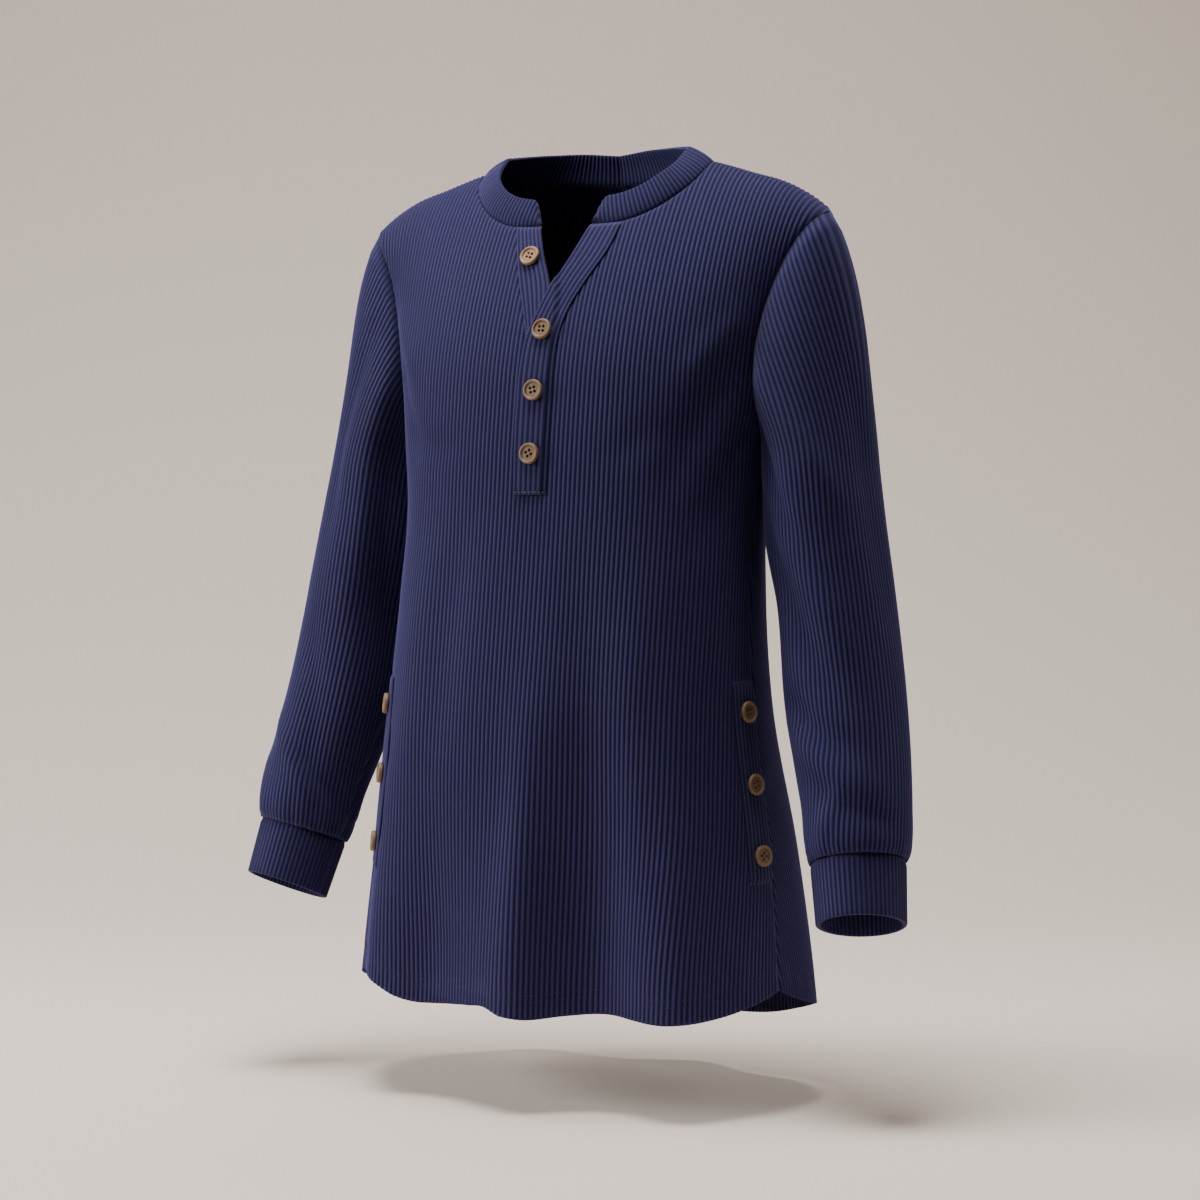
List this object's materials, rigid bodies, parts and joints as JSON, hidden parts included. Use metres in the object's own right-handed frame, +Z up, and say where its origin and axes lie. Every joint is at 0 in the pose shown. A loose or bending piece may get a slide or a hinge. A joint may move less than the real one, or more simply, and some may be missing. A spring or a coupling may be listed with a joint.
{
  "type": "long-sleeved henley tunic top",
  "caption": "Long rib-knit henley tunic, filled out as if worn: crew neckband, buttoned half placket, set-in sleeves with rib cuffs, buttoned strips over the side seams and an open hem.",
  "frame": {"origin": "midway between the neck ends of the two shoulder seams, where the wearer's shoulders hold the garment up", "axes": "+Z up; +X to the wearer's left; -Y to the front of the garment; right-handed"},
  "size_m": [0.6282, 0.2953, 0.7575],
  "materials": {
    "navy_rib_knit": "matte wide rib knit with a slight sheen on the crests of its folds",
    "coconut_wood": "satin sanded coconut shell, with a raised rim and a sunk middle"
  },
  "bodies": {
    "root": {"front_panel": "navy_rib_knit", "back_panel": "navy_rib_knit", "under_placket": "navy_rib_knit", "over_placket": "navy_rib_knit", "sleeve_left": "navy_rib_knit", "sleeve_right": "navy_rib_knit", "cuff_left": "navy_rib_knit", "cuff_right": "navy_rib_knit", "side_strip_left": "navy_rib_knit", "side_strip_right": "navy_rib_knit", "neckband": "navy_rib_knit", "placket_button_1": "coconut_wood", "placket_button_2": "coconut_wood", "placket_button_3": "coconut_wood", "placket_button_4": "coconut_wood", "side_button_left_1": "coconut_wood", "side_button_left_2": "coconut_wood", "side_button_left_3": "coconut_wood", "side_button_right_1": "coconut_wood", "side_button_right_2": "coconut_wood", "side_button_right_3": "coconut_wood"}
  },
  "joints": []
}
